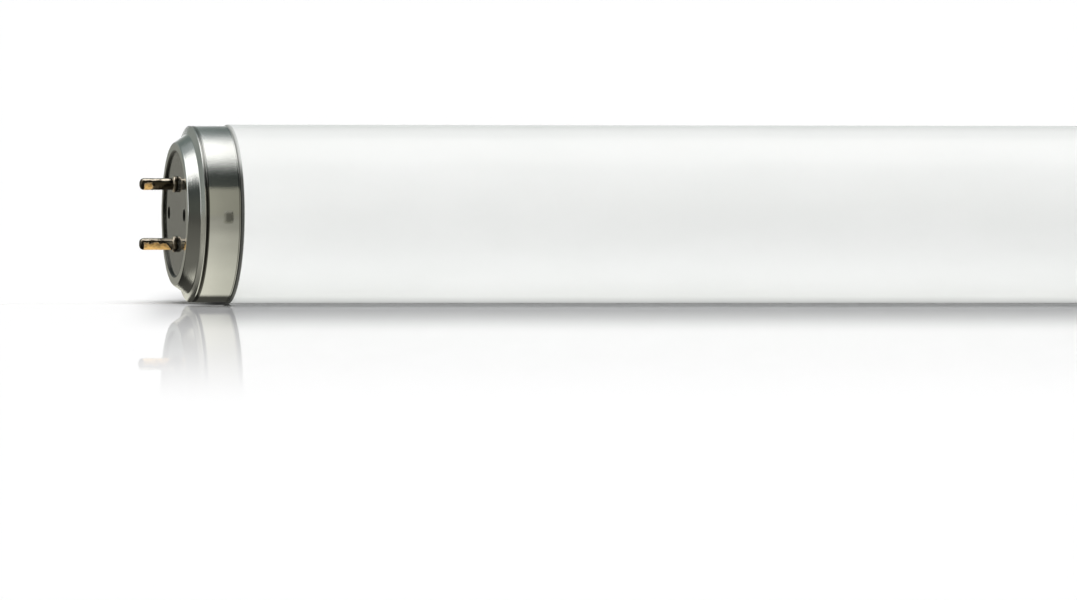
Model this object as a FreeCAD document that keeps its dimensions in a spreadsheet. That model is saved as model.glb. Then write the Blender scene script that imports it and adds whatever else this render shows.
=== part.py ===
import FreeCAD, Part
import math
import os

import Sketcher

# Bi-pin fluorescent tube, lying along X on its glass, with +Z up and the origin under its middle.
# All sizes are in millimetres. Depths into an end are measured from the front of the cap's rim.

SIZES = [
    ("face_length", 588.8, "from one cap's rim to the other's"),
    ("glass_radius", 19.0, "outside of the glass"),
    ("glass_wall", 0.9, "wall of the glass tube and its stems"),
    ("shoulder_gap", 0.3, "from the edge of the band to the full glass diameter"),
    ("shoulder_run", 0.6, "length over which the shoulder drops to the neck"),
    ("shoulder_round", 0.45, "rounding at the top of the shoulder"),
    ("glass_end_depth", 4.8, "where the neck is sealed to its stem"),
    ("glass_end_round", 0.35, "fire-polished edge of the sealed end"),
    ("stem_radius", 6.4, "inside of the straight part of the stem"),
    ("stem_depth", 26.0, "bottom of the hollow inside the stem"),
    ("press_length", 10.0, "length of the flattened press"),
    ("press_height", 12.0, "width of the press, along the line of the pins"),
    ("press_thickness", 4.0, "thickness of the press"),
    ("exhaust_radius", 2.2, "tipped-off exhaust stub"),
    ("exhaust_length", 10.0, "length of the exhaust stub with its tip"),
    ("exhaust_tip", 2.5, "length of the stub's drawn-out tip"),
    ("exhaust_tip_radius", 0.6, "end of the tip"),
    ("sheet", 0.4, "aluminium sheet of the cap shell"),
    ("band_inset", 0.3, "how far the band lies inside the glass diameter"),
    ("shell_length", 10.85, "from the rim's front to the edge of the band"),
    ("lip_width", 1.95, "width of the front lip"),
    ("cone_length", 2.55, "length of the cone behind the lip"),
    ("cone_rise", 1.75, "how far the cone widens"),
    ("step_run", 0.6, "length of the steep step behind the cone"),
    ("step_rise", 1.8, "from the end of the cone up to the band"),
    ("rim_round", 0.55, "rounding where the front lip meets the cone"),
    ("lip_round", 0.3, "rounding on the lip's inner edge"),
    ("step_round", 0.25, "rounding where the step meets the band"),
    ("cone_round", 0.4, "hollow rounding between cone and step"),
    ("groove_depth_in", 3.6, "middle of the rolled groove"),
    ("groove_half", 0.25, "half its width"),
    ("groove_sink", 0.3, "how deep it is rolled"),
    ("dimple_depth_in", 8.1, "middle of the pressed dimples"),
    ("dimple_length", 2.0, "along the tube"),
    ("dimple_width", 2.4, "around the band"),
    ("dimple_sink", 0.35, "how deep they are pressed"),
    ("seat_gap", 0.05, "clearance between pieces that seat in each other"),
    ("web", 1.65, "thickness of the disc's middle"),
    ("flange_width", 2.4, "width of the disc's thick edge"),
    ("vent_radius", 1.32, "vent holes in the disc"),
    ("vent_offset", 8.7, "from the disc's centre to each vent hole"),
    ("cement", 1.1, "space between the neck and the shell"),
    ("cement_recess", 0.35, "from the back of the ring to the edge of the band"),
    ("pin_spacing", 12.7, "between the axes of the two pins"),
    ("pin_radius", 1.25, "shaft of a pin"),
    ("pin_length", 7.5, "from the rim's front to the pin's tip"),
    ("pin_round", 0.85, "rounding of the tip"),
    ("pin_bore", 0.6, "radius of the hole inside a pin"),
    ("pin_tip_wall", 0.8, "metal left at the tip"),
    ("collar_radius", 1.78, "bead against the front of the disc"),
    ("collar_thickness", 0.76, "its thickness"),
    ("rivet_radius", 2.1, "spread end behind the disc"),
    ("rivet_thickness", 0.5, "its thickness"),
    ("crimp_depth_in", 2.5, "from the tip to the crimp"),
    ("crimp_radius", 0.5, "size of each crimp dent"),
    ("crimp_sink", 0.22, "how deep it is"),
    ("wire_radius", 0.3, "lead-in wire"),
    ("wire_offset", 3.4, "from the axis to the wire where it leaves the press"),
    ("wire_bend_start", 5.5, "depth at which the bent stretch starts behind the pin"),
    ("wire_bend_run", 10.0, "length of the bent stretch"),
]


class Size:
    """A length with its value and the formula on the sheet that gives it."""

    def __init__(self, value, formula):
        self.value = value
        self.formula = formula

    def __add__(self, other):
        other = as_size(other)
        return Size(self.value + other.value, f"({self.formula} + {other.formula})")

    def __sub__(self, other):
        other = as_size(other)
        return Size(self.value - other.value, f"({self.formula} - {other.formula})")

    def __mul__(self, other):
        other = as_size(other)
        return Size(self.value * other.value, f"({self.formula} * {other.formula})")

    def __truediv__(self, other):
        other = as_size(other)
        return Size(self.value / other.value, f"({self.formula} / {other.formula})")

    def __neg__(self):
        return Size(-self.value, f"(0 - {self.formula})")


def as_size(number):
    return number if isinstance(number, Size) else Size(float(number), repr(number))


doc = FreeCAD.newDocument("FluorescentTube")
sheet = doc.addObject("Spreadsheet::Sheet", "sizes")
for row, (alias, value, note) in enumerate(SIZES, 1):
    sheet.set(f"A{row}", alias)
    sheet.set(f"B{row}", str(value))
    sheet.setAlias(f"B{row}", alias)
    sheet.set(f"C{row}", note)
doc.recompute()
size = {alias: Size(float(sheet.get(alias)), f"sizes.{alias}") for alias, _, _ in SIZES}
ZERO = as_size(0)


def origin_plane(body, role):
    return next(f for f in body.Origin.OriginFeatures if f.Role == role)


def new_sketch(body, name, role, offset=None):
    """A sketch on one of the body's own planes, moved along the plane's normal by offset."""
    sketch = body.newObject("Sketcher::SketchObject", name)
    sketch.AttachmentSupport = [(origin_plane(body, role), "")]
    sketch.MapMode = "FlatFace"
    if offset is not None:
        sketch.AttachmentOffset.Base.z = offset.value
        sketch.setExpression("AttachmentOffset.Base.z", offset.formula)
    return sketch


def fix(sketch, kind, where, size_value):
    """Adds one dimension and ties it to the sheet."""
    index = sketch.addConstraint(Sketcher.Constraint(kind, *where, size_value.value))
    sketch.setExpression(f"Constraints[{index}]", size_value.formula)


def fix_point(sketch, geometry, end, point):
    """Sets a point of the sketch by its two distances from the origin."""
    for kind, distance in (("DistanceX", point[0]), ("DistanceY", point[1])):
        fix(sketch, kind, (-1, 1, geometry, end), distance)


def vector(point):
    return FreeCAD.Vector(point[0].value, point[1].value, 0)


def outline(sketch, points, arcs=None, closed=True):
    """Draws a chain of straight lines through the points. arcs gives, for the line that starts at
    a point of that number, its radius and the side it bulges to, +1 for left of its direction."""
    arcs = arcs or {}
    count = len(points)
    last = count if closed else count - 1
    chain = []
    for number in range(last):
        start = vector(points[number])
        end = vector(points[(number + 1) % count])
        if number in arcs:
            radius, side = arcs[number]
            chord = (end - start) * 0.5
            across = FreeCAD.Vector(-chord.y, chord.x, 0).normalize() * side
            depth = math.sqrt(max(radius.value**2 - chord.Length**2, 0))
            centre = start + chord - across * depth
            first, second = (end, start) if side > 0 else (start, end)
            ring = Part.Circle(centre, FreeCAD.Vector(0, 0, 1), radius.value)
            from_angle = math.atan2(first.y - centre.y, first.x - centre.x)
            to_angle = math.atan2(second.y - centre.y, second.x - centre.x)
            curve = Part.ArcOfCircle(ring, from_angle, to_angle)
            geometry = sketch.addGeometry(curve, False)
            chain.append((geometry, 2, 1) if side > 0 else (geometry, 1, 2))
            fix(sketch, "Radius", (geometry,), radius)
        else:
            geometry = sketch.addGeometry(Part.LineSegment(start, end), False)
            chain.append((geometry, 1, 2))
    for number in range(last):
        geometry, start_end, _ = chain[number]
        fix_point(sketch, geometry, start_end, points[number])
        if number or closed:
            before, _, before_end = chain[number - 1]
            sketch.addConstraint(
                Sketcher.Constraint("Coincident", before, before_end, geometry, start_end)
            )
    if not closed:
        geometry, _, end_end = chain[-1]
        fix_point(sketch, geometry, end_end, points[-1])


def circle(sketch, centre, radius):
    geometry = sketch.addGeometry(
        Part.Circle(vector(centre), FreeCAD.Vector(0, 0, 1), radius.value), False
    )
    fix_point(sketch, geometry, 3, centre)
    fix(sketch, "Radius", (geometry,), radius)


def rectangle(sketch, centre, half_width, half_height):
    left, right = centre[0] - half_width, centre[0] + half_width
    low, high = centre[1] - half_height, centre[1] + half_height
    outline(sketch, [(left, low), (right, low), (right, high), (left, high)])


def revolve(body, name, points, arcs=None, cut=False):
    """Turns a closed outline in the XZ plane once round the X axis."""
    sketch = new_sketch(body, f"{name}_outline", "XZ_Plane")
    outline(sketch, points, arcs)
    feature = body.newObject("PartDesign::Groove" if cut else "PartDesign::Revolution", name)
    feature.Profile = sketch
    feature.ReferenceAxis = (sketch, ["H_Axis"])
    feature.Angle = 360
    sketch.Visibility = False
    doc.recompute()
    return feature


def extrude(body, name, sketch, length, cut=False, reverse=False):
    """Pads or pockets a sketch by length, away from its plane's normal where reverse says so."""
    feature = body.newObject("PartDesign::Pocket" if cut else "PartDesign::Pad", name)
    feature.Profile = sketch
    feature.Length = length.value
    feature.setExpression("Length", length.formula)
    feature.Reversed = reverse
    doc.recompute()
    return feature


def round_rings(body, name, radius, rings):
    """Rounds the circular edges that lie at the given depths and radii."""
    base = body.Tip
    wanted = [(depth.value, ring.value) for depth, ring in rings]
    found = []
    for number, edge in enumerate(base.Shape.Edges, 1):
        if not isinstance(edge.Curve, Part.Circle):
            continue
        place = (edge.Curve.Center.x, edge.Curve.Radius)
        if any(math.dist(place, spot) < 1e-4 for spot in wanted):
            found.append(f"Edge{number}")
    if len(found) < len(wanted):
        raise RuntimeError(f"{name}: {len(found)} edges found, {len(wanted)} wanted")
    feature = body.newObject("PartDesign::Fillet", name)
    feature.Base = (base, found)
    feature.Radius = radius.value
    feature.setExpression("Radius", radius.formula)
    doc.recompute()
    return feature


half = size["face_length"] / 2
glass_radius = size["glass_radius"]
wall = size["glass_wall"]
metal = size["sheet"]
gap = size["seat_gap"]

band_radius = glass_radius - size["band_inset"]
shell_inside = band_radius - metal
cone_end_radius = band_radius - size["step_rise"]
rim_radius = cone_end_radius - size["cone_rise"]
lip_radius = rim_radius - size["lip_width"]
step_end = size["cone_length"] + size["step_run"]
groove_half = size["groove_half"]
groove_front = size["groove_depth_in"] - groove_half
groove_back = size["groove_depth_in"] + groove_half

disc_front = metal + gap
disc_back = disc_front + size["web"]
groove_inside = shell_inside - size["groove_sink"]
step_inside = step_end + metal - size["step_run"] * (metal + size["groove_sink"]) / size["step_rise"]
flange_back = size["groove_depth_in"]
neck_radius = shell_inside - size["cement"]
neck_inside = neck_radius - wall
shoulder_top = size["shell_length"] + size["shoulder_gap"]
shoulder_foot = shoulder_top - size["shoulder_run"]


def place(body, side, height):
    """Puts an end piece at its end of the tube: side -1 is the left end, +1 the right one."""
    body.Placement = FreeCAD.Placement(
        FreeCAD.Vector(side * half.value, 0, height.value),
        FreeCAD.Rotation(FreeCAD.Vector(0, 0, 1), 0 if side < 0 else 180),
    )
    body.setExpression("Placement.Base.x", (half * side).formula)
    body.setExpression("Placement.Base.z", height.formula)


def new_body(label):
    body = doc.addObject("PartDesign::Body", label)
    body.Label = label
    return body


# The glass tube. The outer form runs from one stem's floor round the sealed end, along the neck and
# the shoulder to the straight tube, and back to the other end. The gas space is cut out of it.
def make_glass():
    body = new_body("glass_tube")
    bend = neck_inside - size["stem_radius"]
    bend_start = size["glass_end_depth"] + bend

    def both_ends(right_half):
        """Closes a right-hand chain of (depth, radius) with its mirror image."""
        right = [(half - depth, radius) for depth, radius in right_half]
        left = [(-across, radius) for across, radius in reversed(right)]
        return right + left

    outer = both_ends(
        [
            (size["stem_depth"], ZERO),
            (size["stem_depth"], size["stem_radius"]),
            (bend_start, size["stem_radius"]),
            (size["glass_end_depth"], neck_inside),
            (size["glass_end_depth"], neck_radius),
            (shoulder_foot, neck_radius),
            (shoulder_top, glass_radius),
        ]
    )
    revolve(body, "outer_form", outer, {2: (bend, -1), 10: (bend, -1)})

    gas_bend = bend - wall
    gas = both_ends(
        [
            (size["stem_depth"] + wall, ZERO),
            (size["stem_depth"] + wall, size["stem_radius"] + wall),
            (bend_start, size["stem_radius"] + wall),
            (size["glass_end_depth"] + wall, neck_inside),
            (shoulder_foot + wall, neck_inside),
            (shoulder_top + wall, glass_radius - wall),
        ]
    )
    revolve(body, "gas_space", gas, {2: (gas_bend, -1), 8: (gas_bend, -1)}, cut=True)

    press_root = half - size["stem_depth"] - wall / 2
    for side, name in ((-1, "left"), (1, "right")):
        press = new_sketch(body, f"{name}_press_outline", "YZ_Plane", press_root * side)
        rectangle(
            press, (ZERO, ZERO), size["press_thickness"] / 2, size["press_height"] / 2
        )
        extrude(body, f"{name}_press", press, size["press_length"], reverse=side > 0)
        stub_end = press_root + wall / 2 + size["exhaust_length"]
        stub_tip = stub_end - size["exhaust_tip"]
        stub = [
            (press_root * side, ZERO),
            (press_root * side, size["exhaust_radius"]),
            (stub_tip * side, size["exhaust_radius"]),
            (stub_end * side, size["exhaust_tip_radius"]),
            (stub_end * side, ZERO),
        ]
        revolve(body, f"{name}_exhaust_stub", stub)

    ends = [half, -half]
    round_rings(
        body,
        "shoulder_rounds",
        size["shoulder_round"],
        [(end - shoulder_top * math.copysign(1, end.value), glass_radius) for end in ends],
    )
    round_rings(
        body,
        "sealed_edges",
        size["glass_end_round"],
        [(end - size["glass_end_depth"] * math.copysign(1, end.value), neck_radius) for end in ends],
    )
    body.Placement.Base.z = glass_radius.value
    body.setExpression("Placement.Base.z", glass_radius.formula)
    return body


# The cap shell. One sheet of aluminium: curled lip, cone, step and band, with a groove rolled in
# behind the disc and two dimples pressed into the cement. It is drawn as its own section.
def make_shell(name, side):
    body = new_body(f"{name}_cap_shell")
    cone_end = size["cone_length"]
    sink = size["groove_sink"]
    outside = [
        (ZERO, lip_radius),
        (ZERO, rim_radius),
        (cone_end, cone_end_radius),
        (step_end, band_radius),
        (groove_front, band_radius),
        (size["groove_depth_in"], band_radius - sink),
        (groove_back, band_radius),
        (size["shell_length"], band_radius),
    ]
    inside = [
        (size["shell_length"], shell_inside),
        (groove_back + metal / 3, shell_inside),
        (size["groove_depth_in"], groove_inside),
        (step_inside, groove_inside),
        (cone_end + metal, cone_end_radius - metal / 2),
        (metal, rim_radius - metal / 2),
        (metal, lip_radius),
    ]
    revolve(body, "drawn_sheet", outside + inside)
    round_rings(body, "step_round", size["step_round"], [(step_end, band_radius)])
    round_rings(body, "rim_round", size["rim_round"], [(ZERO, rim_radius)])
    round_rings(body, "lip_round", size["lip_round"], [(ZERO, lip_radius)])
    round_rings(body, "cone_round", size["cone_round"], [(cone_end, cone_end_radius)])

    centre = (size["dimple_depth_in"], ZERO)
    half_length = size["dimple_length"] / 2
    half_width = size["dimple_width"] / 2
    for way, label in ((1, "near"), (-1, "far")):
        bump_at = band_radius - size["dimple_sink"] - metal
        bump = new_sketch(body, f"{label}_bump_outline", "XZ_Plane", bump_at * way)
        rectangle(bump, centre, half_length + metal, half_width + metal)
        extrude(body, f"{label}_bump", bump, metal, reverse=way < 0)
        dent = new_sketch(body, f"{label}_dimple_outline", "XZ_Plane", band_radius * way)
        rectangle(dent, centre, half_length, half_width)
        extrude(body, f"{label}_dimple", dent, size["dimple_sink"], cut=True, reverse=way < 0)
    place(body, side, glass_radius)
    return body


# The insulating disc. A moulding with a thin middle and a thick edge that seats in the lip, the cone
# and the step of the shell, with two pin holes and two vent holes.
def make_disc(name, side):
    body = new_body(f"{name}_insulating_disc")
    edge = groove_inside - gap * 2
    section = [
        (disc_front, ZERO),
        (disc_front, rim_radius - metal / 2 - gap),
        (size["cone_length"] + disc_front, cone_end_radius - metal / 2 - gap),
        (step_inside + gap, edge),
        (flange_back, edge),
        (flange_back, edge - size["flange_width"]),
        (disc_back, edge - size["flange_width"]),
        (disc_back, ZERO),
    ]
    revolve(body, "moulding", section)
    holes = new_sketch(body, "hole_outlines", "YZ_Plane")
    for way in (-1, 1):
        circle(holes, (ZERO, size["pin_spacing"] / 2 * way), size["pin_radius"] + gap)
        circle(holes, (size["vent_offset"] * way, ZERO), size["vent_radius"])
    extrude(body, "holes", holes, disc_back + gap, cut=True, reverse=True)
    place(body, side, glass_radius)
    return body


# A contact pin: a hollow brass pin with a bead against the front of the disc and its back end spread
# behind it, closed at the rounded tip and crimped on its lead wire.
def make_pin(name, side, level):
    body = new_body(f"{name}_pin")
    tip = -size["pin_length"]
    shaft = size["pin_radius"]
    bead_front = disc_front - size["collar_thickness"]
    pin_end = disc_back + size["rivet_thickness"]
    section = [
        (tip, ZERO),
        (tip, shaft),
        (bead_front, shaft),
        (bead_front, size["collar_radius"]),
        (disc_front, size["collar_radius"]),
        (disc_front, shaft),
        (disc_back, shaft),
        (disc_back, size["rivet_radius"]),
        (pin_end, size["rivet_radius"]),
        (pin_end, size["pin_bore"]),
        (tip + size["pin_tip_wall"], size["pin_bore"]),
        (tip + size["pin_tip_wall"], ZERO),
    ]
    revolve(body, "turned_form", section)
    round_rings(body, "tip_round", size["pin_round"], [(tip, shaft)])
    round_rings(
        body, "bead_round", size["collar_thickness"] / 3, [(bead_front, size["collar_radius"])]
    )
    for way, label in ((1, "near"), (-1, "far")):
        dent = new_sketch(body, f"{label}_crimp_outline", "XZ_Plane", shaft * way)
        circle(dent, (tip + size["crimp_depth_in"], ZERO), size["crimp_radius"])
        extrude(body, f"{label}_crimp", dent, size["crimp_sink"], cut=True, reverse=way < 0)
    place(body, side, glass_radius + size["pin_spacing"] / 2 * level)
    return body


# A lead-in wire: straight out of the press, bent outwards in two equal arcs, and straight again
# into the hollow pin as far as its closed tip.
def make_wire(name, side, level):
    body = new_body(f"{name}_lead_wire")
    bend_end = size["wire_bend_start"] + size["wire_bend_run"]
    rise = size["pin_spacing"] / 2 - size["wire_offset"]
    run = size["wire_bend_run"]
    arc = (run * run + rise * rise) / (rise * 4)
    low = size["wire_offset"] * level
    high = size["pin_spacing"] / 2 * level
    tip = size["pin_tip_wall"] - size["pin_length"]
    route = new_sketch(body, "route", "XZ_Plane")
    outline(
        route,
        [
            (tip, high),
            (size["wire_bend_start"], high),
            (size["wire_bend_start"] + run / 2, (low + high) / 2),
            (bend_end, low),
            (size["stem_depth"], low),
        ],
        {1: (arc, level), 2: (arc, -level)},
        closed=False,
    )
    section = new_sketch(body, "section", "YZ_Plane", tip)
    circle(section, (ZERO, high), size["wire_radius"])
    wire = body.newObject("PartDesign::AdditivePipe", "wire")
    wire.Profile = section
    wire.Spine = route
    place(body, side, glass_radius)
    doc.recompute()
    return body


# The basing cement: a hard ring between the neck and the shell, keyed by the dimples. Its front
# steps in under the groove and holds the disc from behind.
def make_cement(name, side):
    body = new_body(f"{name}_cement_ring")
    back = size["shell_length"] - size["cement_recess"]
    inner = neck_radius + gap
    outer = shell_inside - gap
    front = flange_back + gap
    section = [
        (front, inner),
        (front, groove_inside - gap),
        (groove_back + metal / 2, groove_inside - gap),
        (groove_back + metal / 2, outer),
        (back, outer),
        (back, inner),
    ]
    revolve(body, "ring", section)
    centre = (size["dimple_depth_in"], ZERO)
    depth = size["dimple_sink"] + gap
    for way, label in ((1, "near"), (-1, "far")):
        key = new_sketch(body, f"{label}_key_outline", "XZ_Plane", shell_inside * way)
        rectangle(
            key,
            centre,
            size["dimple_length"] / 2 + metal + gap,
            size["dimple_width"] / 2 + metal + gap,
        )
        extrude(body, f"{label}_key", key, depth, cut=True, reverse=way < 0)
    place(body, side, glass_radius)
    return body


pieces = [make_glass()]
for end_side, end_name in ((-1, "left"), (1, "right")):
    pieces.append(make_shell(end_name, end_side))
    pieces.append(make_disc(end_name, end_side))
    pieces.append(make_cement(end_name, end_side))
    for pin_level, level_name in ((1, "upper"), (-1, "lower")):
        pieces.append(make_pin(f"{end_name}_{level_name}", end_side, pin_level))
        pieces.append(make_wire(f"{end_name}_{level_name}", end_side, pin_level))
doc.recompute()

for item in doc.Objects:
    if "Invalid" in item.State or "Error" in item.State:
        raise RuntimeError(f"{item.Label} failed: {item.State}")
for piece in pieces:
    if piece.Shape.isNull() or not piece.Shape.isValid() or len(piece.Shape.Solids) != 1:
        raise RuntimeError(f"{piece.Label} is not one valid solid")

os.makedirs("parts", exist_ok=True)
for piece in pieces:
    piece.Shape.exportStep(f"parts/{piece.Label}.step")
    box = piece.Shape.optimalBoundingBox()
    print(
        f"{piece.Label}: {piece.Shape.Volume:.2f} mm3,"
        f" x {box.XMin:.2f} to {box.XMax:.2f}, z {box.ZMin:.2f} to {box.ZMax:.2f}"
    )
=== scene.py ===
import math

import bmesh
import bpy
import numpy as np
from mathutils import Matrix


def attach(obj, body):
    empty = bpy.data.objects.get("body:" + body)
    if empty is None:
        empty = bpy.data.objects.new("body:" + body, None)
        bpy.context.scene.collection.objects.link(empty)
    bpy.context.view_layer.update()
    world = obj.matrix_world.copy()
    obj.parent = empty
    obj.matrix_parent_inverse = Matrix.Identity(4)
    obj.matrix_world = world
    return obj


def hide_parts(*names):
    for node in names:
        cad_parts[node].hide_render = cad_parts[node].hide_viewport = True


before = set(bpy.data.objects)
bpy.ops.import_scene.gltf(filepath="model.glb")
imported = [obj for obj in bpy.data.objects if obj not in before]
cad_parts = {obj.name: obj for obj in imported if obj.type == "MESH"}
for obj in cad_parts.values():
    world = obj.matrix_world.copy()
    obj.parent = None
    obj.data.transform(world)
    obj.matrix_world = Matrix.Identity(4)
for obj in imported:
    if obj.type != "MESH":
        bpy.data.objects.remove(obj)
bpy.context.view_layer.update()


# The glass tube. Clear drawn glass 0.9 mm thick, coated white on its inside, drawn in to a neck at
# each end and sealed there to the flare of its stem. It lies on the floor along X.
MM = 0.001
GLASS_RADIUS = 19.0
AXIS_HEIGHT = GLASS_RADIUS
FACE_TO_FACE = 588.8
NECK_RADIUS = 17.2
NECK_INSIDE = 16.3
SHOULDER_DEPTH = 11.15
SHOULDER_RUN = 0.6
SEAL_DEPTH = 4.8
STEM_RADIUS = 6.4
STEM_DEPTH = 26.0
STUB_RADIUS = 2.2
STUB_DEPTH = 16.0
STUB_TAPER = 2.5
STUB_TIP = 0.6
FLARE_ROWS = 20
GLASS_SIDES = 256
WHITE_FROM = 11.55
WHITE_BLUR = 0.1
PHOSPHOR_DULL = (0.885, 0.897, 0.882)
PHOSPHOR_BRIGHT = (0.905, 0.915, 0.902)
BARE_SHADED_FOOT = (0.08, 0.082, 0.075)
BARE_PAINTED_LIGHT_TOP = (0.6, 0.61, 0.59)
BARE_PAINTED_LIGHT_FROM = (27, 32)

DEGREES_PER_STEP = 7
GUARD = 0.04
SAME_PLACE = 1e-7
CREASE = math.radians(28)


def rounded(points, rounds):
    """A profile of (depth, radius) points whose corners are replaced by arcs. rounds maps a
    corner's number to its radius. Each arc touches both sides of the corner, and a guard point
    just outside each end keeps the shading of the straight stretches flat."""
    line = []
    for number, corner in enumerate(np.array(points, float)):
        if number not in rounds:
            line.append(corner)
            continue
        before, after = np.array(points[number - 1], float), np.array(points[number + 1], float)
        inward, outward = before - corner, after - corner
        inward /= np.linalg.norm(inward)
        outward /= np.linalg.norm(outward)
        half_angle = math.acos(np.clip(inward @ outward, -1, 1)) / 2
        reach = rounds[number] / math.tan(half_angle)
        middle = inward + outward
        centre = corner + middle / np.linalg.norm(middle) * rounds[number] / math.sin(half_angle)
        start, end = corner + inward * reach, corner + outward * reach
        sweep = math.pi - 2 * half_angle
        steps = max(4, math.ceil(math.degrees(sweep) / DEGREES_PER_STEP))
        across = (start - centre) / rounds[number]
        along = -inward
        turns = np.linspace(0, sweep, steps + 1)[:, None]
        arc = centre + rounds[number] * (across * np.cos(turns) + along * np.sin(turns))
        guard = min(GUARD, reach * 0.5)
        line += [start + inward * guard, *arc, end + outward * guard]
    return np.array(line)


def once_round(sides):
    """Evenly spaced angles round a circle, without the last one, which is the first again."""
    return np.linspace(0, 2 * math.pi, sides, endpoint=False)


def lathed(name, profile, angles, height=AXIS_HEIGHT, side=-1, dent=None, closed=True):
    """A surface of revolution about a line along X at the given height. A profile point (depth,
    radius) at angle t goes to x = side * (half the tube - depth), y = -radius cos t and
    z = height + radius sin t. dent(depth, radius, t) is taken off the radius."""
    depth, radius = (column[:, None] + 0 * angles for column in profile.T)
    if dent:
        radius = radius - dent(depth, radius, angles[None, :])
    x = side * (FACE_TO_FACE / 2 - depth)
    grid = np.stack([x, -radius * np.cos(angles), height + radius * np.sin(angles)], axis=-1) * MM
    rows, columns = depth.shape
    index = np.arange(rows * columns).reshape(rows, columns)
    if closed:
        index = np.vstack([index, index[:1]])
    here, after = index[:-1], index[1:]
    quads = np.stack(
        [here, np.roll(here, -1, 1), np.roll(after, -1, 1), after], axis=-1
    ).reshape(-1, 4)
    mesh = bpy.data.meshes.new(name)
    mesh.from_pydata(grid.reshape(-1, 3), [], quads)
    work = bmesh.new()
    work.from_mesh(mesh)
    bmesh.ops.remove_doubles(work, verts=work.verts, dist=SAME_PLACE)
    bmesh.ops.recalc_face_normals(work, faces=work.faces)
    work.to_mesh(mesh)
    work.free()
    mesh.shade_smooth()
    mesh.set_sharp_from_angle(angle=CREASE)
    piece = bpy.data.objects.new(name, mesh)
    bpy.context.collection.objects.link(piece)
    return piece


class Signal:
    """One output of a material's nodes. Python's operators on it add Math nodes."""

    def __init__(self, socket):
        self.socket = socket

    @staticmethod
    def node(tree, kind, settings=None, inputs=None, output=0):
        """Adds a node, applies its settings, then fills its sockets with values or links."""
        made = tree.nodes.new(kind)
        for key, value in (settings or {}).items():
            setattr(made, key, value)
        for key, value in (inputs or {}).items():
            if isinstance(value, Signal):
                tree.links.new(value.socket, made.inputs[key])
            else:
                made.inputs[key].default_value = value
        return Signal(made.outputs[output])

    def add(self, kind, settings=None, inputs=None, output=0):
        return Signal.node(self.socket.id_data, kind, settings, inputs, output)

    def maths(self, operation, first, second=0.0):
        return self.add("ShaderNodeMath", {"operation": operation}, {0: first, 1: second})

    def __add__(self, other):
        return self.maths("ADD", self, other)

    def __radd__(self, other):
        return self.maths("ADD", other, self)

    def __sub__(self, other):
        return self.maths("SUBTRACT", self, other)

    def __rsub__(self, other):
        return self.maths("SUBTRACT", other, self)

    def __mul__(self, other):
        return self.maths("MULTIPLY", self, other)

    def __rmul__(self, other):
        return self.maths("MULTIPLY", other, self)

    def __truediv__(self, other):
        return self.maths("DIVIDE", self, other)

    def __abs__(self):
        return self.maths("ABSOLUTE", self)

    def step_up(self, low, high):
        """0 below low, 1 above high, and a smooth rise between them."""
        return self.add(
            "ShaderNodeMapRange",
            {"interpolation_type": "SMOOTHSTEP"},
            {"Value": self, "From Min": low, "From Max": high, "To Min": 0.0, "To Max": 1.0},
        )

    def near(self, centre, full, none):
        """1 within full of centre, 0 further from it than none, and a smooth fall between them."""
        return 1 - abs(self - centre).step_up(full, none)

    def blend(self, low, high):
        """The colour low where the signal is 0 and high where it is 1."""
        low, high = ((*part, 1) if isinstance(part, tuple) else part for part in (low, high))
        return self.add("ShaderNodeMix", {"data_type": "RGBA"}, {0: self, 6: low, 7: high}, 2)


def new_finish(name, base, **constants):
    """A Principled material of that base colour; constants are set on its own sockets."""
    finish = bpy.data.materials.new(name)
    finish.use_nodes = True
    shader = finish.node_tree.nodes["Principled BSDF"]
    shader.inputs["Base Color"].default_value = (*base, 1)
    for key, value in constants.items():
        shader.inputs[key.replace("_", " ")].default_value = value
    place = Signal.node(finish.node_tree, "ShaderNodeTexCoord", output=3)
    return finish, shader, place


def feed(shader, **sockets):
    """Links each signal to the shader's socket of that name."""
    for key, signal in sockets.items():
        shader.id_data.links.new(signal.socket, shader.inputs[key.replace("_", " ")])


def millimetres(place, *axes):
    """The position's parts along X, Y and Z (0, 1, 2) that are asked for, in millimetres."""
    return [place.add("ShaderNodeSeparateXYZ", {}, {0: place}, axis) / MM for axis in axes]


def grain(place, stretch, scale, detail=3.0, roughness=0.5):
    """Noise on Object coordinates in metres, its cells stretched by the three factors."""
    scaled = place.add(
        "ShaderNodeMapping", {"vector_type": "POINT"}, {"Vector": place, "Scale": stretch}
    )
    return place.add(
        "ShaderNodeTexNoise",
        {},
        {"Vector": scaled, "Scale": scale, "Detail": detail, "Roughness": roughness},
    )


def bump(height, strength, distance):
    """The surface's normal, tilted by that height. The distance is in metres."""
    return height.add(
        "ShaderNodeBump", {}, {"Height": height, "Strength": strength, "Distance": distance}
    )


glass_corners = [
    (STUB_DEPTH, 0),
    (STUB_DEPTH, STUB_TIP),
    (STUB_DEPTH + STUB_TAPER, STUB_RADIUS),
    (STEM_DEPTH, STUB_RADIUS),
    (STEM_DEPTH, STEM_RADIUS),
    (SEAL_DEPTH + NECK_INSIDE - STEM_RADIUS, STEM_RADIUS),
]
flare_turn = np.radians(np.linspace(90, 180, FLARE_ROWS))
flare_radius = NECK_INSIDE - STEM_RADIUS
flare = np.stack(
    [
        SEAL_DEPTH + flare_radius + flare_radius * np.cos(flare_turn),
        NECK_INSIDE - flare_radius * np.sin(flare_turn),
    ],
    axis=-1,
)
glass_rim = rounded(
    [
        (SEAL_DEPTH, NECK_INSIDE),
        (SEAL_DEPTH, NECK_RADIUS),
        (SHOULDER_DEPTH - SHOULDER_RUN, NECK_RADIUS),
        (SHOULDER_DEPTH, GLASS_RADIUS),
        (SHOULDER_DEPTH + 3, GLASS_RADIUS),
    ],
    {1: 0.35, 2: 0.3, 3: 0.45},
)
glass_half = np.vstack([glass_corners, flare[1:-1], glass_rim])
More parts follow.
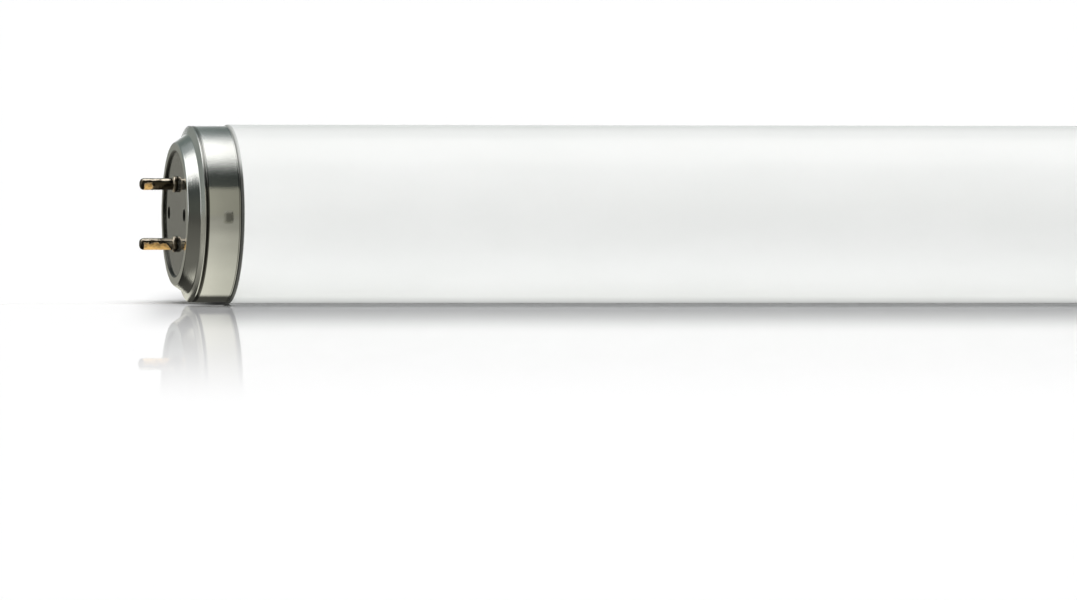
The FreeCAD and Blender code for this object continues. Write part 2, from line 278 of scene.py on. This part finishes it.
glass_far = glass_half[::-1] * (-1, 1) + (FACE_TO_FACE, 0)
glass_profile = np.vstack([glass_half, glass_far])
glass = lathed("lamp_glass", glass_profile, once_round(GLASS_SIDES), closed=False)

# The white starts just behind the cap's band. The ring of bare glass before it is dark, partly as
# clear glass and partly as painted shade in the gap behind the band, and painted lighter on top.
phosphor_glass, shader, place = new_finish(
    "phosphor_glass", (0.9, 0.91, 0.9), Roughness=0.04, IOR=1.4
)
along, height = millimetres(place, 0, 2)
inside_face = FACE_TO_FACE / 2 - abs(along)
coated = inside_face.step_up(WHITE_FROM - WHITE_BLUR, WHITE_FROM + WHITE_BLUR)
cloud = grain(place, (0.5, 1, 1), 60.0)
white = cloud.step_up(0.35, 0.65).blend(PHOSPHOR_DULL, PHOSPHOR_BRIGHT)
# Painted shade at the bare ring's foot, and a painted highlight along its top.
bare_shade_and_light = height.step_up(*BARE_PAINTED_LIGHT_FROM).blend(BARE_SHADED_FOOT, BARE_PAINTED_LIGHT_TOP)
feed(shader, Base_Color=coated.blend(bare_shade_and_light, white))
feed(shader, Normal=bump(grain(place, (0.08, 1, 1), 90.0, 1.0), 0.05, 0.0006))
glass.data.materials.append(phosphor_glass)
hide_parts("glass_tube")
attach(glass, "root")


# The cap shells. Drawn from aluminium sheet 0.4 mm thick: a flat lip, a cone, a steep step and a
# band, with a groove rolled in behind the disc and two dimples pressed into the cement.
SHEET = 0.4
LIP_RADIUS = 13.2
RIM_RADIUS = 15.15
CONE_END = (2.55, 16.9)
STEP_END = 3.15
STEP_BACK = 3.32
BAND_RADIUS = 18.7
SHELL_INSIDE = 18.3
GROOVE_DEPTH = 3.6
GROOVE_HALF = 0.25
GROOVE_BACK_HALF = 0.38
GROOVE_SINK = 0.3
BAND_EDGE = 10.85
DIMPLE_DEPTH = 8.1
DIMPLE_LENGTH = 2.0
DIMPLE_WIDTH = 2.4
DIMPLE_SINK = 0.12
DIMPLE_REACH = 1.5
SOFT_EDGE = 0.8
DIMPLE_ROWS = 36
FINE_ARC = 0.11
FINE_SIDES = 48
COARSE_FROM = 0.12
COARSE_SIDES = 110
METAL_BRIGHT = (0.9, 0.905, 0.88)
METAL_FADED = (0.7, 0.705, 0.68)
PAINTED_SHADE_DARK = (0.04, 0.04, 0.03)
GROOVE_SHADE_THINS = (22, 32)
EDGE_LINE_THINS = (27, 32)
BAND_ROUGHENS = (25.5, 28)
METAL_FADES_BACK = (3.5, 10.5)


def ramp_down(distance, width):
    """1 where distance is negative, 0 beyond width, with a smooth cubic fall between."""
    t = np.clip(distance / width, 0, 1)
    return 1 - t * t * (3 - 2 * t)


def from_sides(radius, turn):
    """The arc's length from an angle to the nearer of the near and the far side."""
    return radius * np.abs((turn + math.pi / 2) % math.pi - math.pi / 2)


def dimples(depth, radius, turn):
    """Two soft-edged rectangular dents on the band, in the middle of the near and the far side:
    their depth times a fall past half their length, times another past half their width."""
    overlap = SOFT_EDGE * 0.7
    inside = ramp_down(np.abs(depth - DIMPLE_DEPTH) - DIMPLE_LENGTH / 2 + overlap, SOFT_EDGE)
    inside = inside * ramp_down(from_sides(radius, turn) - DIMPLE_WIDTH / 2 + overlap, SOFT_EDGE)
    return DIMPLE_SINK * inside * (radius > SHELL_INSIDE - 0.2)


before_dimple = DIMPLE_DEPTH - DIMPLE_REACH - 0.1
behind_dimple = DIMPLE_DEPTH + DIMPLE_REACH + 0.1
outside = rounded(
    [
        (0.3, LIP_RADIUS),
        (0, LIP_RADIUS),
        (0, RIM_RADIUS),
        CONE_END,
        (STEP_END, BAND_RADIUS),
        (GROOVE_DEPTH - GROOVE_HALF + 0.02, BAND_RADIUS),
        (GROOVE_DEPTH, BAND_RADIUS - GROOVE_SINK),
        (GROOVE_DEPTH + GROOVE_HALF, BAND_RADIUS),
        (before_dimple, BAND_RADIUS),
    ],
    {1: 0.28, 2: 0.55, 3: 0.4, 4: 0.08, 5: 0.07, 6: 0.08, 7: 0.15},
)
dimple_steps = np.linspace(DIMPLE_DEPTH - DIMPLE_REACH, DIMPLE_DEPTH + DIMPLE_REACH, DIMPLE_ROWS)
outer_dimple = np.stack([dimple_steps, 0 * dimple_steps + BAND_RADIUS], axis=-1)
inner_dimple = outer_dimple[::-1] - (0, SHEET)
band_edge = rounded(
    [
        (behind_dimple, BAND_RADIUS),
        (BAND_EDGE, BAND_RADIUS),
        (BAND_EDGE, SHELL_INSIDE),
        (behind_dimple, SHELL_INSIDE),
    ],
    {1: 0.1, 2: 0.08},
)
shell_back = [
    (before_dimple, SHELL_INSIDE),
    (GROOVE_DEPTH + GROOVE_BACK_HALF, SHELL_INSIDE),
    (GROOVE_DEPTH, SHELL_INSIDE - GROOVE_SINK),
    (STEP_BACK, SHELL_INSIDE - GROOVE_SINK),
    (CONE_END[0] + SHEET, CONE_END[1] - SHEET / 2),
    (SHEET, RIM_RADIUS - SHEET / 2),
    (SHEET, LIP_RADIUS),
]
shell_profile = np.vstack([outside, outer_dimple, band_edge, inner_dimple, shell_back])
fine = np.linspace(-FINE_ARC, FINE_ARC, FINE_SIDES)
coarse = np.linspace(COARSE_FROM, math.pi - COARSE_FROM, COARSE_SIDES)
shell_angles = np.concatenate([fine, coarse, fine + math.pi, coarse + math.pi])


def from_line(first, second):
    """The distance from a line: the root of the sum of the squares of the two offsets from it."""
    squared = first * first + second * second
    return squared.maths("SQRT", squared)


# Bright metal with fine grit in it, smoother low on the band, and random worn patches. Painted
# shade darkens the lip's inner edge, the dimples, which are rougher too, and the groove, and a
# painted dark reflection runs along the band's edge; groove and edge are lighter on top. The band
# is painted duller towards its back, as a fall-off of its reflection.
drawn_aluminium, shader, place = new_finish(
    "drawn_aluminium", (0.86, 0.87, 0.84), Metallic=1.0, Roughness=0.12
)
inward, around_y, up_z = millimetres(place, 0, 1, 2)
depth = FACE_TO_FACE / 2 - abs(inward)
from_axis = from_line(around_y, up_z - AXIS_HEIGHT)
grit = grain(place, (1, 1, 1), 3400.0, 4.0, 0.8)
drawing = grain(place, (30, 1, 1), 110.0, 2.0)
worn = grain(place, (1, 1, 1), 150.0, 3.0)
# Painted shade in the groove, thinner on top.
groove_shade = depth.near(GROOVE_DEPTH + 0.14, 0.3, 0.5)
groove_shade = groove_shade * (1 - 0.55 * up_z.step_up(*GROOVE_SHADE_THINS))
# Painted shade on the lip's inner edge.
lip_shade = 1 - from_axis.step_up(LIP_RADIUS + 0.2, LIP_RADIUS + 0.5)
# Painted shade in each dimple, which is rougher there too.
dimple_shade_and_mark = depth.near(DIMPLE_DEPTH + 0.15, 0.2, 1.3) * up_z.near(AXIS_HEIGHT - 0.1, 0.5, 1.7)
dimple_shade_and_mark = dimple_shade_and_mark * abs(around_y).step_up(SHELL_INSIDE - 0.8, SHELL_INSIDE - 0.3)
# A painted dark reflection along the band's edge, thinner on top.
edge_dark_reflection = 0.65 * depth.near(BAND_EDGE - 0.26, 0.04, 0.17)
edge_dark_reflection = edge_dark_reflection * (1 - 0.7 * up_z.step_up(*EDGE_LINE_THINS))
painted_dark = (groove_shade + lip_shade + edge_dark_reflection + dimple_shade_and_mark * 0.68) * 0.93
on_cone = 1 - from_axis.step_up(CONE_END[1] - 0.1, CONE_END[1] + 0.2)
smooth_band = (1 - on_cone) * (1 - up_z.step_up(*BAND_ROUGHENS))
grit_height = grit * (2.5 - 1.2 * on_cone - 1.9 * smooth_band)
# A painted fall-off of the band's reflection towards its back, with random worn patches.
faded_and_worn = depth.step_up(*METAL_FADES_BACK) * 0.75 + 0.25 * worn.step_up(0.3, 0.7)
feed(
    shader,
    Base_Color=painted_dark.blend(faded_and_worn.blend(METAL_BRIGHT, METAL_FADED), PAINTED_SHADE_DARK),
    Roughness=0.03 + 0.05 * worn + 0.07 * grit + 0.3 * dimple_shade_and_mark,
    Normal=bump(grit_height + drawing * 1.1 + worn * 1.5, 0.3, 0.00006),
)
ends = {"left": -1, "right": 1}
for end, side in ends.items():
    shell = lathed(f"{end}_cap_metal", shell_profile, shell_angles, side=side, dent=dimples)
    shell.data.materials.append(drawn_aluminium)
    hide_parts(f"{end}_cap_shell")
    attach(shell, "root")


# The insulating discs. Dark grey moulded plastic, gloss like a mirror at a low angle, with faint
# rings where the pins' beads are pressed on it. The rings and the vents' rims are painted paler as
# highlights, and the vents' walls are painted black as shade. Each sits in its cap and holds the
# two pins.
PIN_SPACING = 12.7
VENT_OFFSET = 8.7
VENT_RADIUS = 1.32
BEAD_MARK = 2.4
PLASTIC_DARK = (0.047, 0.049, 0.042)
PLASTIC_PALE = (0.06, 0.062, 0.053)
PAINTED_EDGE_LIGHT = (0.22, 0.225, 0.2)
VENT_PAINTED_SHADE = (0.004, 0.004, 0.003)

disc_plastic, shader, place = new_finish(
    "disc_plastic", (0.05, 0.052, 0.045), Roughness=0.05, IOR=1.5
)
mottle = grain(place, (1, 1, 1), 700.0, 4.0)
y, z = millimetres(place, 1, 2)
from_pin = from_line(y, abs(z - AXIS_HEIGHT) - PIN_SPACING / 2)
ring = from_pin.near(BEAD_MARK, 0.0, 0.2)
past_vent = from_line(abs(y) - VENT_OFFSET, z - AXIS_HEIGHT) - VENT_RADIUS
# A painted highlight round each vent's rim, and painted black shade on the vent's wall.
vent_rim_highlight = past_vent.step_up(0.1, 0.14) - past_vent.step_up(0.24, 0.34)
vent_wall_shade = 1 - past_vent.step_up(0.09, 0.12)
moulded = mottle.step_up(0.35, 0.65).blend(PLASTIC_DARK, PLASTIC_PALE)
# The pressed rings and the vent rims are painted paler, as highlights.
lit_edges = ((ring + vent_rim_highlight) * 0.4).blend(moulded, PAINTED_EDGE_LIGHT)
feed(
    shader,
    Base_Color=vent_wall_shade.blend(lit_edges, VENT_PAINTED_SHADE),
    Roughness=0.03 + 0.05 * mottle,
    Coat_Weight=1 - vent_wall_shade,
    Normal=bump(ring * -1.0 + 0.12 * mottle, 0.25, 0.00005),
)
for end in ends:
    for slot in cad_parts[f"{end}_insulating_disc"].material_slots:
        slot.material = disc_plastic


# The contact pins. Hollow turned brass with a bead in front of the disc, a spread back end behind
# it and a rounded closed tip. Two small crimps near the tip grip the lead wire inside.
PIN_RADIUS = 1.25
PIN_TIP = -7.5
PIN_BORE = 0.6
TIP_ROUND = 0.85
TIP_WALL = 0.8
BEAD_RADIUS = 1.78
BEAD_LENGTH = 0.98
DISC_FRONT = 0.45
DISC_BACK = 2.1
SPREAD_RADIUS = 2.1
SPREAD_LENGTH = 0.5
CRIMP_DEPTH = PIN_TIP + 2.5
CRIMP_REACH = 0.62
CRIMP_SINK = 0.22
SHAFT_ROWS = 90
PIN_SIDES = 96
GILT_DARK = (0.2, 0.11, 0.03)
GILT_BRIGHT = (0.95, 0.58, 0.19)
BRASS_PAINTED_TOP_LIGHT = (0.78, 0.69, 0.57)
BRASS_PAINTED_DARK = (0.1, 0.08, 0.055)
DARK_BAND_FADES = (0.3, 0.62)
BEAD_ENDS = (0.5, 0.6)
GILT_PATCH_FROM = (0.6, 1.2)
GILT_PATCH_TO = (6.5, 6.9)
UPPER_GILT_FROM = (4.7, 5.2)

pin_profile = rounded(
    [
        (PIN_TIP, 0),
        (PIN_TIP, PIN_RADIUS),
        (DISC_FRONT - BEAD_LENGTH, PIN_RADIUS),
        (DISC_FRONT - BEAD_LENGTH, BEAD_RADIUS),
        (DISC_FRONT, BEAD_RADIUS),
        (DISC_FRONT, PIN_RADIUS),
        (DISC_BACK, PIN_RADIUS),
        (DISC_BACK, SPREAD_RADIUS),
        (DISC_BACK + SPREAD_LENGTH, SPREAD_RADIUS),
        (DISC_BACK + SPREAD_LENGTH, PIN_BORE),
        (PIN_TIP + TIP_WALL, PIN_BORE),
        (PIN_TIP + TIP_WALL, 0),
    ],
    {1: TIP_ROUND, 2: 0.06, 3: 0.42, 4: 0.3, 8: 0.15},
)
shaft_depths = np.linspace(PIN_TIP + TIP_ROUND + 0.1, -1, SHAFT_ROWS)
shaft = np.stack([shaft_depths, np.full(SHAFT_ROWS, PIN_RADIUS)], axis=-1)
tip_rows = int(np.argmin(pin_profile[:, 0] < PIN_TIP + TIP_ROUND + 0.05))
pin_profile = np.vstack([pin_profile[:tip_rows], shaft, pin_profile[tip_rows:]])


def crimps(depth, radius, turn):
    """Two round dents, on the near and the far side of the shaft, deepest in their middles: their
    depth times a fall with the distance from the middle."""
    reach = np.hypot(depth - CRIMP_DEPTH, from_sides(radius, turn))
    return CRIMP_SINK * ramp_down(reach, CRIMP_REACH) * (radius > PIN_BORE + 0.3)


# A painted highlight on top, a painted dark reflection under it, and a warm gilt patch low on the
# pin, painted as a bright reflection: near the tip of the upper pin, and all along the lower one.
# All three follow the pin's height, with ragged random edges; the bead's front edge is a painted
# highlight.
pin_brass, shader, place = new_finish(
    "pin_brass_polish", (0.8, 0.62, 0.36), Metallic=1.0, Roughness=0.12
)
blotch = grain(place, (0.6, 1, 1), 900.0, 3.0)
turning = grain(place, (8, 1, 1), 500.0, 2.0)
inward, up_z = millimetres(place, 0, 2)
outward = abs(inward) - FACE_TO_FACE / 2
lower = 1 - (up_z - AXIS_HEIGHT).step_up(-1, 1)
level = (up_z - AXIS_HEIGHT + (lower * 2 - 1) * (PIN_SPACING / 2)) / PIN_RADIUS
slope = 1.1 * lower * (1 - outward.step_up(0.3, 2.6)) + 0.1 * lower - 0.25
ragged = level + (blotch - 0.5) * 1.3 + slope
# The gilt patch: a painted bright reflection low on the pin, rough and mostly not metal.
gilt_reflection = 1 - ragged.step_up(-0.1 + 0.12 * lower, 0.06 + 0.12 * lower)
near_tip = (outward + (blotch - 0.5) * 1.6).step_up(*UPPER_GILT_FROM)
gilt_reflection = gilt_reflection * (lower + (1 - lower) * near_tip) * outward.step_up(*GILT_PATCH_FROM)
gilt_reflection = gilt_reflection * (1 - outward.step_up(*GILT_PATCH_TO))
on_bead = 1 - outward.step_up(*BEAD_ENDS)
# A painted highlight on the bead's front edge.
bead_edge_highlight = outward.step_up(0.08, 0.24) * (1 - outward.step_up(0.5, 0.56))
# A painted dark reflection under the pin's top, reaching higher on the bead.
dark_reflection = 1 - (ragged - on_bead * (0.45 + 0.95 * lower)).step_up(*DARK_BAND_FADES)
dark_reflection = dark_reflection * (1 - gilt_reflection) * (1 - 0.85 * bead_edge_highlight)
fleck = grain(place, (0.5, 1, 1), 2100.0, 2.0)
# The gilt is painted brighter lower on the pin, with random flecks.
gilt_lighter_low = 0.5 * fleck.step_up(0.32, 0.6) + 0.8 * (1 - level.step_up(-0.7, 0.4)) - 0.25
gilt = gilt_lighter_low.blend(GILT_DARK, GILT_BRIGHT)
feed(
    shader,
    Base_Color=gilt_reflection.blend(dark_reflection.blend(BRASS_PAINTED_TOP_LIGHT, BRASS_PAINTED_DARK), gilt),
    Metallic=1 - 0.8 * gilt_reflection,
    Roughness=0.08 + 0.06 * blotch + 0.3 * gilt_reflection,
    Normal=bump(turning + blotch, 0.15, 0.00006),
)
for end, side in ends.items():
    for level_name, way in (("upper", 1), ("lower", -1)):
        pin = lathed(
            f"{end}_{level_name}_pin_metal",
            pin_profile,
            once_round(PIN_SIDES),
            AXIS_HEIGHT + PIN_SPACING / 2 * way,
            side,
            crimps,
            closed=False,
        )
        pin.data.materials.append(pin_brass)
        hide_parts(f"{end}_{level_name}_pin")
        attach(pin, "root")


# The lead-in wires and the cement rings. Bare nickel-iron wire from the press into each pin, and a
# ring of hard resin cement that glues the cap to the neck. Both are inside the caps.
nickel_wire, shader, place = new_finish(
    "nickel_wire", (0.6, 0.59, 0.56), Metallic=1.0, Roughness=0.3
)
drawn_lines = grain(place, (0.1, 1, 1), 4000.0, 2.0)
feed(shader, Roughness=0.25 + 0.2 * drawn_lines, Normal=bump(drawn_lines, 0.1, 0.00003))
resin_cement, shader, place = new_finish("resin_cement", (0.55, 0.5, 0.42), Roughness=0.85)
crumbs = grain(place, (1, 1, 1), 900.0, 5.0, 0.6)
feed(
    shader,
    Base_Color=crumbs.step_up(0.3, 0.7).blend((0.47, 0.42, 0.34), (0.62, 0.57, 0.48)),
    Normal=bump(crumbs, 0.5, 0.0002),
)
for name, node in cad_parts.items():
    finish = nickel_wire if name.endswith("lead_wire") else resin_cement
    if name.endswith(("lead_wire", "cement_ring")):
        for slot in node.material_slots:
            slot.material = finish


# The table under the tube: a pale sheet with a painted soft shade along the tube, wider in front of
# it than behind. In front it is faintly glossy too, and mirrors less the further it is from the
# tube.
FLOOR_REACH = 14.0
FLOOR_CORNERS = [
    (sx * FLOOR_REACH, sy * FLOOR_REACH) for sx, sy in ((-1, -1), (1, -1), (1, 1), (-1, 1))
]
FLOOR_DROP = 0.0001
MIRROR_SHARE = 0.7
SIGHT_SLANT = 0.203
WHITE = (1, 1, 1)
BLACK = (0, 0, 0)
CHALK = (0.93, 0.93, 0.93, 1)
SOFT_SHADE = (0.5, 0.503, 0.51)
DEEP_SHADE = (0.1, 0.1, 0.1)
LIFT_BEHIND = 0.05
LIFT_IN_FRONT = 0.62

# The bounds of the shade and the mirror, in millimetres from the middle of the tube.
FRONT_EDGE = (0, 4)
FRONT_SHADE_FADES = (20, 170)
FRONT_SHADE_STARTS = (-305.5, -288)
FRONT_SHADE_ENDS = (200, 360)
BAND_STARTS = (-297, -291)
BAND_ENDS = (-284, -280)
BACK_SHADE_FADES = (0, 105)
BACK_SHADE_ENDS = (288, 304)
CAP_STARTS = (282, 284)
TOUCH_STARTS = (0.5, 2)
TOUCH_FADES = (10, 20)
TOUCH_ENDS = (285, 292)
MIRROR_FADES = (80, 550)
MIRROR_ENDS = (330, 450)


def stage_sheet(name, corners, faces, finish):
    """A staged mesh of those corners and faces, which isn't part of the lamp."""
    mesh = bpy.data.meshes.new(name)
    mesh.from_pydata(corners, [], faces)
    mesh.materials.append(finish)
    made = bpy.data.objects.new(name, mesh)
    bpy.context.collection.objects.link(made)
    return made


def bare_tree(name):
    """A new material, its nodes and its surface socket, with no shader in it yet."""
    finish = bpy.data.materials.new(name)
    finish.use_nodes = True
    tree = finish.node_tree
    tree.nodes.remove(tree.nodes["Principled BSDF"])
    return finish, tree, tree.nodes["Material Output"].inputs["Surface"]


pale_sheet, tree, surface = bare_tree("pale_sheet")
place = Signal.node(tree, "ShaderNodeTexCoord", output=3)
along_x, across_y = millimetres(place, 0, 1)
from_tube = abs(across_y)
in_front = 1 - across_y.step_up(*FRONT_EDGE)
line_of_sight = along_x - SIGHT_SLANT * across_y
past_cap = abs(along_x) + SIGHT_SLANT * across_y

# The shade ends along the photograph's line of sight, and is weaker under the band of the left cap.
shaded = (1 - from_tube.step_up(*FRONT_SHADE_FADES)) * in_front
shaded = shaded * line_of_sight.step_up(*FRONT_SHADE_STARTS)
shaded = shaded * (1 - line_of_sight.step_up(*FRONT_SHADE_ENDS))
under_band = line_of_sight.step_up(*BAND_STARTS) * (1 - line_of_sight.step_up(*BAND_ENDS))
shaded = shaded * (1 - 0.28 * under_band)
at_back = (1 - past_cap.step_up(*BACK_SHADE_ENDS)) * (1 - in_front)
shaded = shaded + at_back * (1 - across_y.step_up(*BACK_SHADE_FADES))

# A painted dark shade where the tube touches the table. It starts further forward under the caps.
under_cap = abs(along_x).step_up(*CAP_STARTS)
touching = (across_y + 10 * under_cap).step_up(*TOUCH_STARTS)
touching = touching * (1 - across_y.step_up(*TOUCH_FADES))
touching = touching * (1 - abs(line_of_sight).step_up(*TOUCH_ENDS))
shade = touching.blend(shaded.blend(WHITE, SOFT_SHADE), DEEP_SHADE)
chalk_colour = place.add(
    "ShaderNodeMix",
    {"data_type": "RGBA", "blend_type": "MULTIPLY"},
    {0: 1.0, 6: shade, 7: CHALK},
    2,
)
chalk = Signal.node(tree, "ShaderNodeBsdfDiffuse", {}, {"Color": chalk_colour})
mirror = Signal.node(tree, "ShaderNodeBsdfGlossy", {}, {"Color": shade, "Roughness": 0.005})
gloss = place.add("ShaderNodeFresnel", {}, {"IOR": 1.1})
share = MIRROR_SHARE * (1 - from_tube.step_up(*MIRROR_FADES)) * in_front * gloss
share = share * (1 - abs(line_of_sight).step_up(*MIRROR_ENDS))
mixed = Signal.node(tree, "ShaderNodeMixShader", {}, {0: share, 1: chalk, 2: mirror})

# A glow on the table, seen by diffuse rays only, stands in for the light it throws back up at the
# glass, more of it from in front.
scattered = Signal.node(tree, "ShaderNodeLightPath", {}, {}, "Is Diffuse Ray")
lift_colour = (scattered * (LIFT_BEHIND + LIFT_IN_FRONT * in_front)).blend(BLACK, WHITE)
lift = Signal.node(tree, "ShaderNodeEmission", {}, {"Color": lift_colour})
both = Signal.node(tree, "ShaderNodeAddShader", {}, {0: mixed, 1: lift})
tree.links.new(both.socket, surface)
stage_sheet("table_top", [(*at, -FLOOR_DROP) for at in FLOOR_CORNERS], [(0, 1, 2, 3)], pale_sheet)


# The light: an even pale room, and broad lamps behind, above and in front. Panels stand in a tunnel
# round the tube and a warm grey cloth lies under it; only mirror-like rays see these.
ROOM_LIGHT = 0.2
PANEL_STEPS = 24
CLOTH_DROP = FLOOR_DROP / 2
CLOTH_COLOUR = (1.0, 0.985, 0.85)
CLOTH_BRIGHTENS = (4.8, 6.6)
CLOTH_FADES = ((0.19, 8, 34), (0.14, 34, 80), (0.05, 80, 300))
CLOTH_ENDS = (293, 299)

world = bpy.data.worlds.new("pale_room")
bpy.context.scene.world = world
world.use_nodes = True
tree = world.node_tree
paths = [
    Signal.node(tree, "ShaderNodeLightPath", {}, {}, name)
    for name in ("Is Camera Ray", "Is Glossy Ray", "Is Transmission Ray")
]
shown = paths[0].maths("MINIMUM", sum(paths, start=0.0), 1.0)
background = tree.nodes["Background"]
background.inputs["Color"].default_value = (1, 1, 1, 1)
tree.links.new((ROOM_LIGHT + (1 - ROOM_LIGHT) * shown).socket, background.inputs["Strength"])


def broad_lamp(name, elevation, azimuth, strength, spread):
    """An even light from far away. Azimuth 0 is the camera's side, and 180 is behind."""
    lamp = bpy.data.objects.new(name, bpy.data.lights.new(name, "SUN"))
    lamp.data.energy = strength
    lamp.data.angle = math.radians(spread)
    lamp.rotation_euler = (math.radians(90 - elevation), 0, math.radians(azimuth))
    lamp.visible_glossy = False
    bpy.context.collection.objects.link(lamp)


broad_lamp("lamp_behind", 25, 165, 0.8, 30)
broad_lamp("lamp_above", 84, 0, 2.35, 50)
broad_lamp("lamp_front", 12, -25, 0.4, 60)


def glowing(name, colour):
    """A material that only glows, in that colour."""
    finish, tree, surface = bare_tree(name)
    glow = Signal.node(tree, "ShaderNodeEmission", {}, {"Color": (*colour, 1)})
    tree.links.new(glow.socket, surface)
    return finish


def for_gloss_only(made):
    """Leaves a piece of the stage to be seen in reflections alone."""
    made.visible_camera = False
    made.visible_diffuse = False
    made.visible_shadow = False
    made.visible_transmission = False


def reflected_panel(name, from_angle, to_angle, low_x, high_x, distance, colour):
    """Part of a tunnel round the tube between two elevations in degrees, 0 towards the camera and
    90 straight up: y = -distance cos t, z = distance sin t above the axis."""
    turn = np.radians(np.linspace(from_angle, to_angle, PANEL_STEPS + 1))
    ring_y, ring_z = -distance * np.cos(turn), distance * np.sin(turn) + AXIS_HEIGHT * MM
    corners = np.concatenate(
        [np.stack([0 * turn + x, ring_y, ring_z], axis=-1) for x in (low_x, high_x)]
    )
    first = np.arange(PANEL_STEPS)
    across = first + PANEL_STEPS + 1
    faces = np.stack([first, first + 1, across + 1, across], axis=-1)
    for_gloss_only(stage_sheet(name, corners, faces.tolist(), glowing(name, colour)))


reflected_panel("front_panel", -0.7, 36.0, -1.0, 4.0, 1.5, (0.31, 0.305, 0.25))
reflected_panel("left_gap", -0.7, 33.5, -6.0, -1.0, 1.5, (0.065, 0.07, 0.06))
reflected_panel("upper_gap", 33.5, 66, -6.0, 6.0, 1.55, (0.05, 0.056, 0.052))
reflected_panel("overhead_near", 66, 73, -6.0, 6.0, 1.55, (0.3, 0.32, 0.31))
reflected_panel("overhead_front", 73, 87, -6.0, 6.0, 1.5, (1.25, 1.25, 1.22))
reflected_panel("overhead_panel", 87, 113, -6.0, 6.0, 1.45, (1.4, 1.4, 1.38))
reflected_panel("overhead_back", 113, 119, -6.0, 6.0, 1.5, (0.8, 0.82, 0.82))
reflected_panel("back_haze", 119, 138, -6.0, 6.0, 1.55, (0.3, 0.33, 0.33))
reflected_panel("back_gap", 138, 158, -6.0, 6.0, 1.55, (0.15, 0.18, 0.17))
reflected_panel("back_left_gap", 158, 180.7, -6.0, -0.3, 1.5, (0.24, 0.26, 0.24))
reflected_panel("back_low_gap", 158, 171, -0.3, 6.0, 1.5, (0.4, 0.44, 0.43))

# The cloth glows and is seen only in reflections. It is painted dark right under the tube as shade,
# then brightest, and fades again with distance and past the ends of the tube. From below it is
# clear.
grey_cloth, tree, surface = bare_tree("grey_cloth")
place = Signal.node(tree, "ShaderNodeTexCoord", output=3)
x, y = millimetres(place, 0, 1)
aside = abs(y)
glow = 0.06 + 0.62 * aside.step_up(*CLOTH_BRIGHTENS)
for amount, low, high in CLOTH_FADES:
    glow = glow - amount * aside.step_up(low, high)
past_end = abs(x).step_up(*CLOTH_ENDS)
kept = 1 - past_end * (0.8 - 0.62 * y.step_up(0, 50))
cloth_colour = (glow * kept).blend(BLACK, CLOTH_COLOUR)
cloth = Signal.node(tree, "ShaderNodeEmission", {}, {"Color": cloth_colour})
clear = Signal.node(tree, "ShaderNodeBsdfTransparent")
under = Signal.node(tree, "ShaderNodeNewGeometry", {}, {}, "Backfacing")
one_sided = Signal.node(tree, "ShaderNodeMixShader", {}, {0: under, 1: cloth, 2: clear})
tree.links.new(one_sided.socket, surface)
cloth_corners = [(*at, -CLOTH_DROP) for at in FLOOR_CORNERS]
for_gloss_only(stage_sheet("ground_cloth", cloth_corners, [(0, 1, 2, 3)], grey_cloth))


# The camera: a long lens a little to the left of the tube and just above it, turned so that the
# tube lies level in the picture.
PHOTO_WIDTH = 1077
PHOTO_HEIGHT = 600
PIXELS_PER_MM = 4.716
RIM_PIXEL = (174.4, 214.0)
LENS = 800.0
SENSOR = 36.0
AZIMUTH = math.radians(-11.5)
ELEVATION = math.radians(2.0)

camera = bpy.data.objects.new("camera", bpy.data.cameras.new("camera"))
bpy.context.collection.objects.link(camera)
camera.data.lens = LENS
camera.data.sensor_width = SENSOR
camera.data.sensor_fit = "HORIZONTAL"
camera.data.clip_end = 100
distance = LENS / SENSOR * PHOTO_WIDTH / PIXELS_PER_MM * MM
towards = np.array(
    [
        -math.sin(AZIMUTH) * math.cos(ELEVATION),
        math.cos(AZIMUTH) * math.cos(ELEVATION),
        -math.sin(ELEVATION),
    ]
)
across = np.cross(towards, (0, 0, 1))
across /= np.linalg.norm(across)
upward = np.cross(across, towards)
roll = math.atan2(upward[0], across[0])
right = across * math.cos(roll) + upward * math.sin(roll)
up = np.cross(right, towards)
rim_centre = np.array([-FACE_TO_FACE / 2, 0, AXIS_HEIGHT]) * MM
aim = rim_centre + (
    right * (PHOTO_WIDTH / 2 - RIM_PIXEL[0]) - up * (PHOTO_HEIGHT / 2 - RIM_PIXEL[1])
) / PIXELS_PER_MM * MM
stand = np.eye(4)
stand[:3, 0], stand[:3, 1], stand[:3, 2] = right, up, -towards
stand[:3, 3] = aim - towards * distance
camera.matrix_world = Matrix(stand.tolist())
bpy.context.scene.camera = camera
bpy.context.scene.view_settings.view_transform = "Standard"
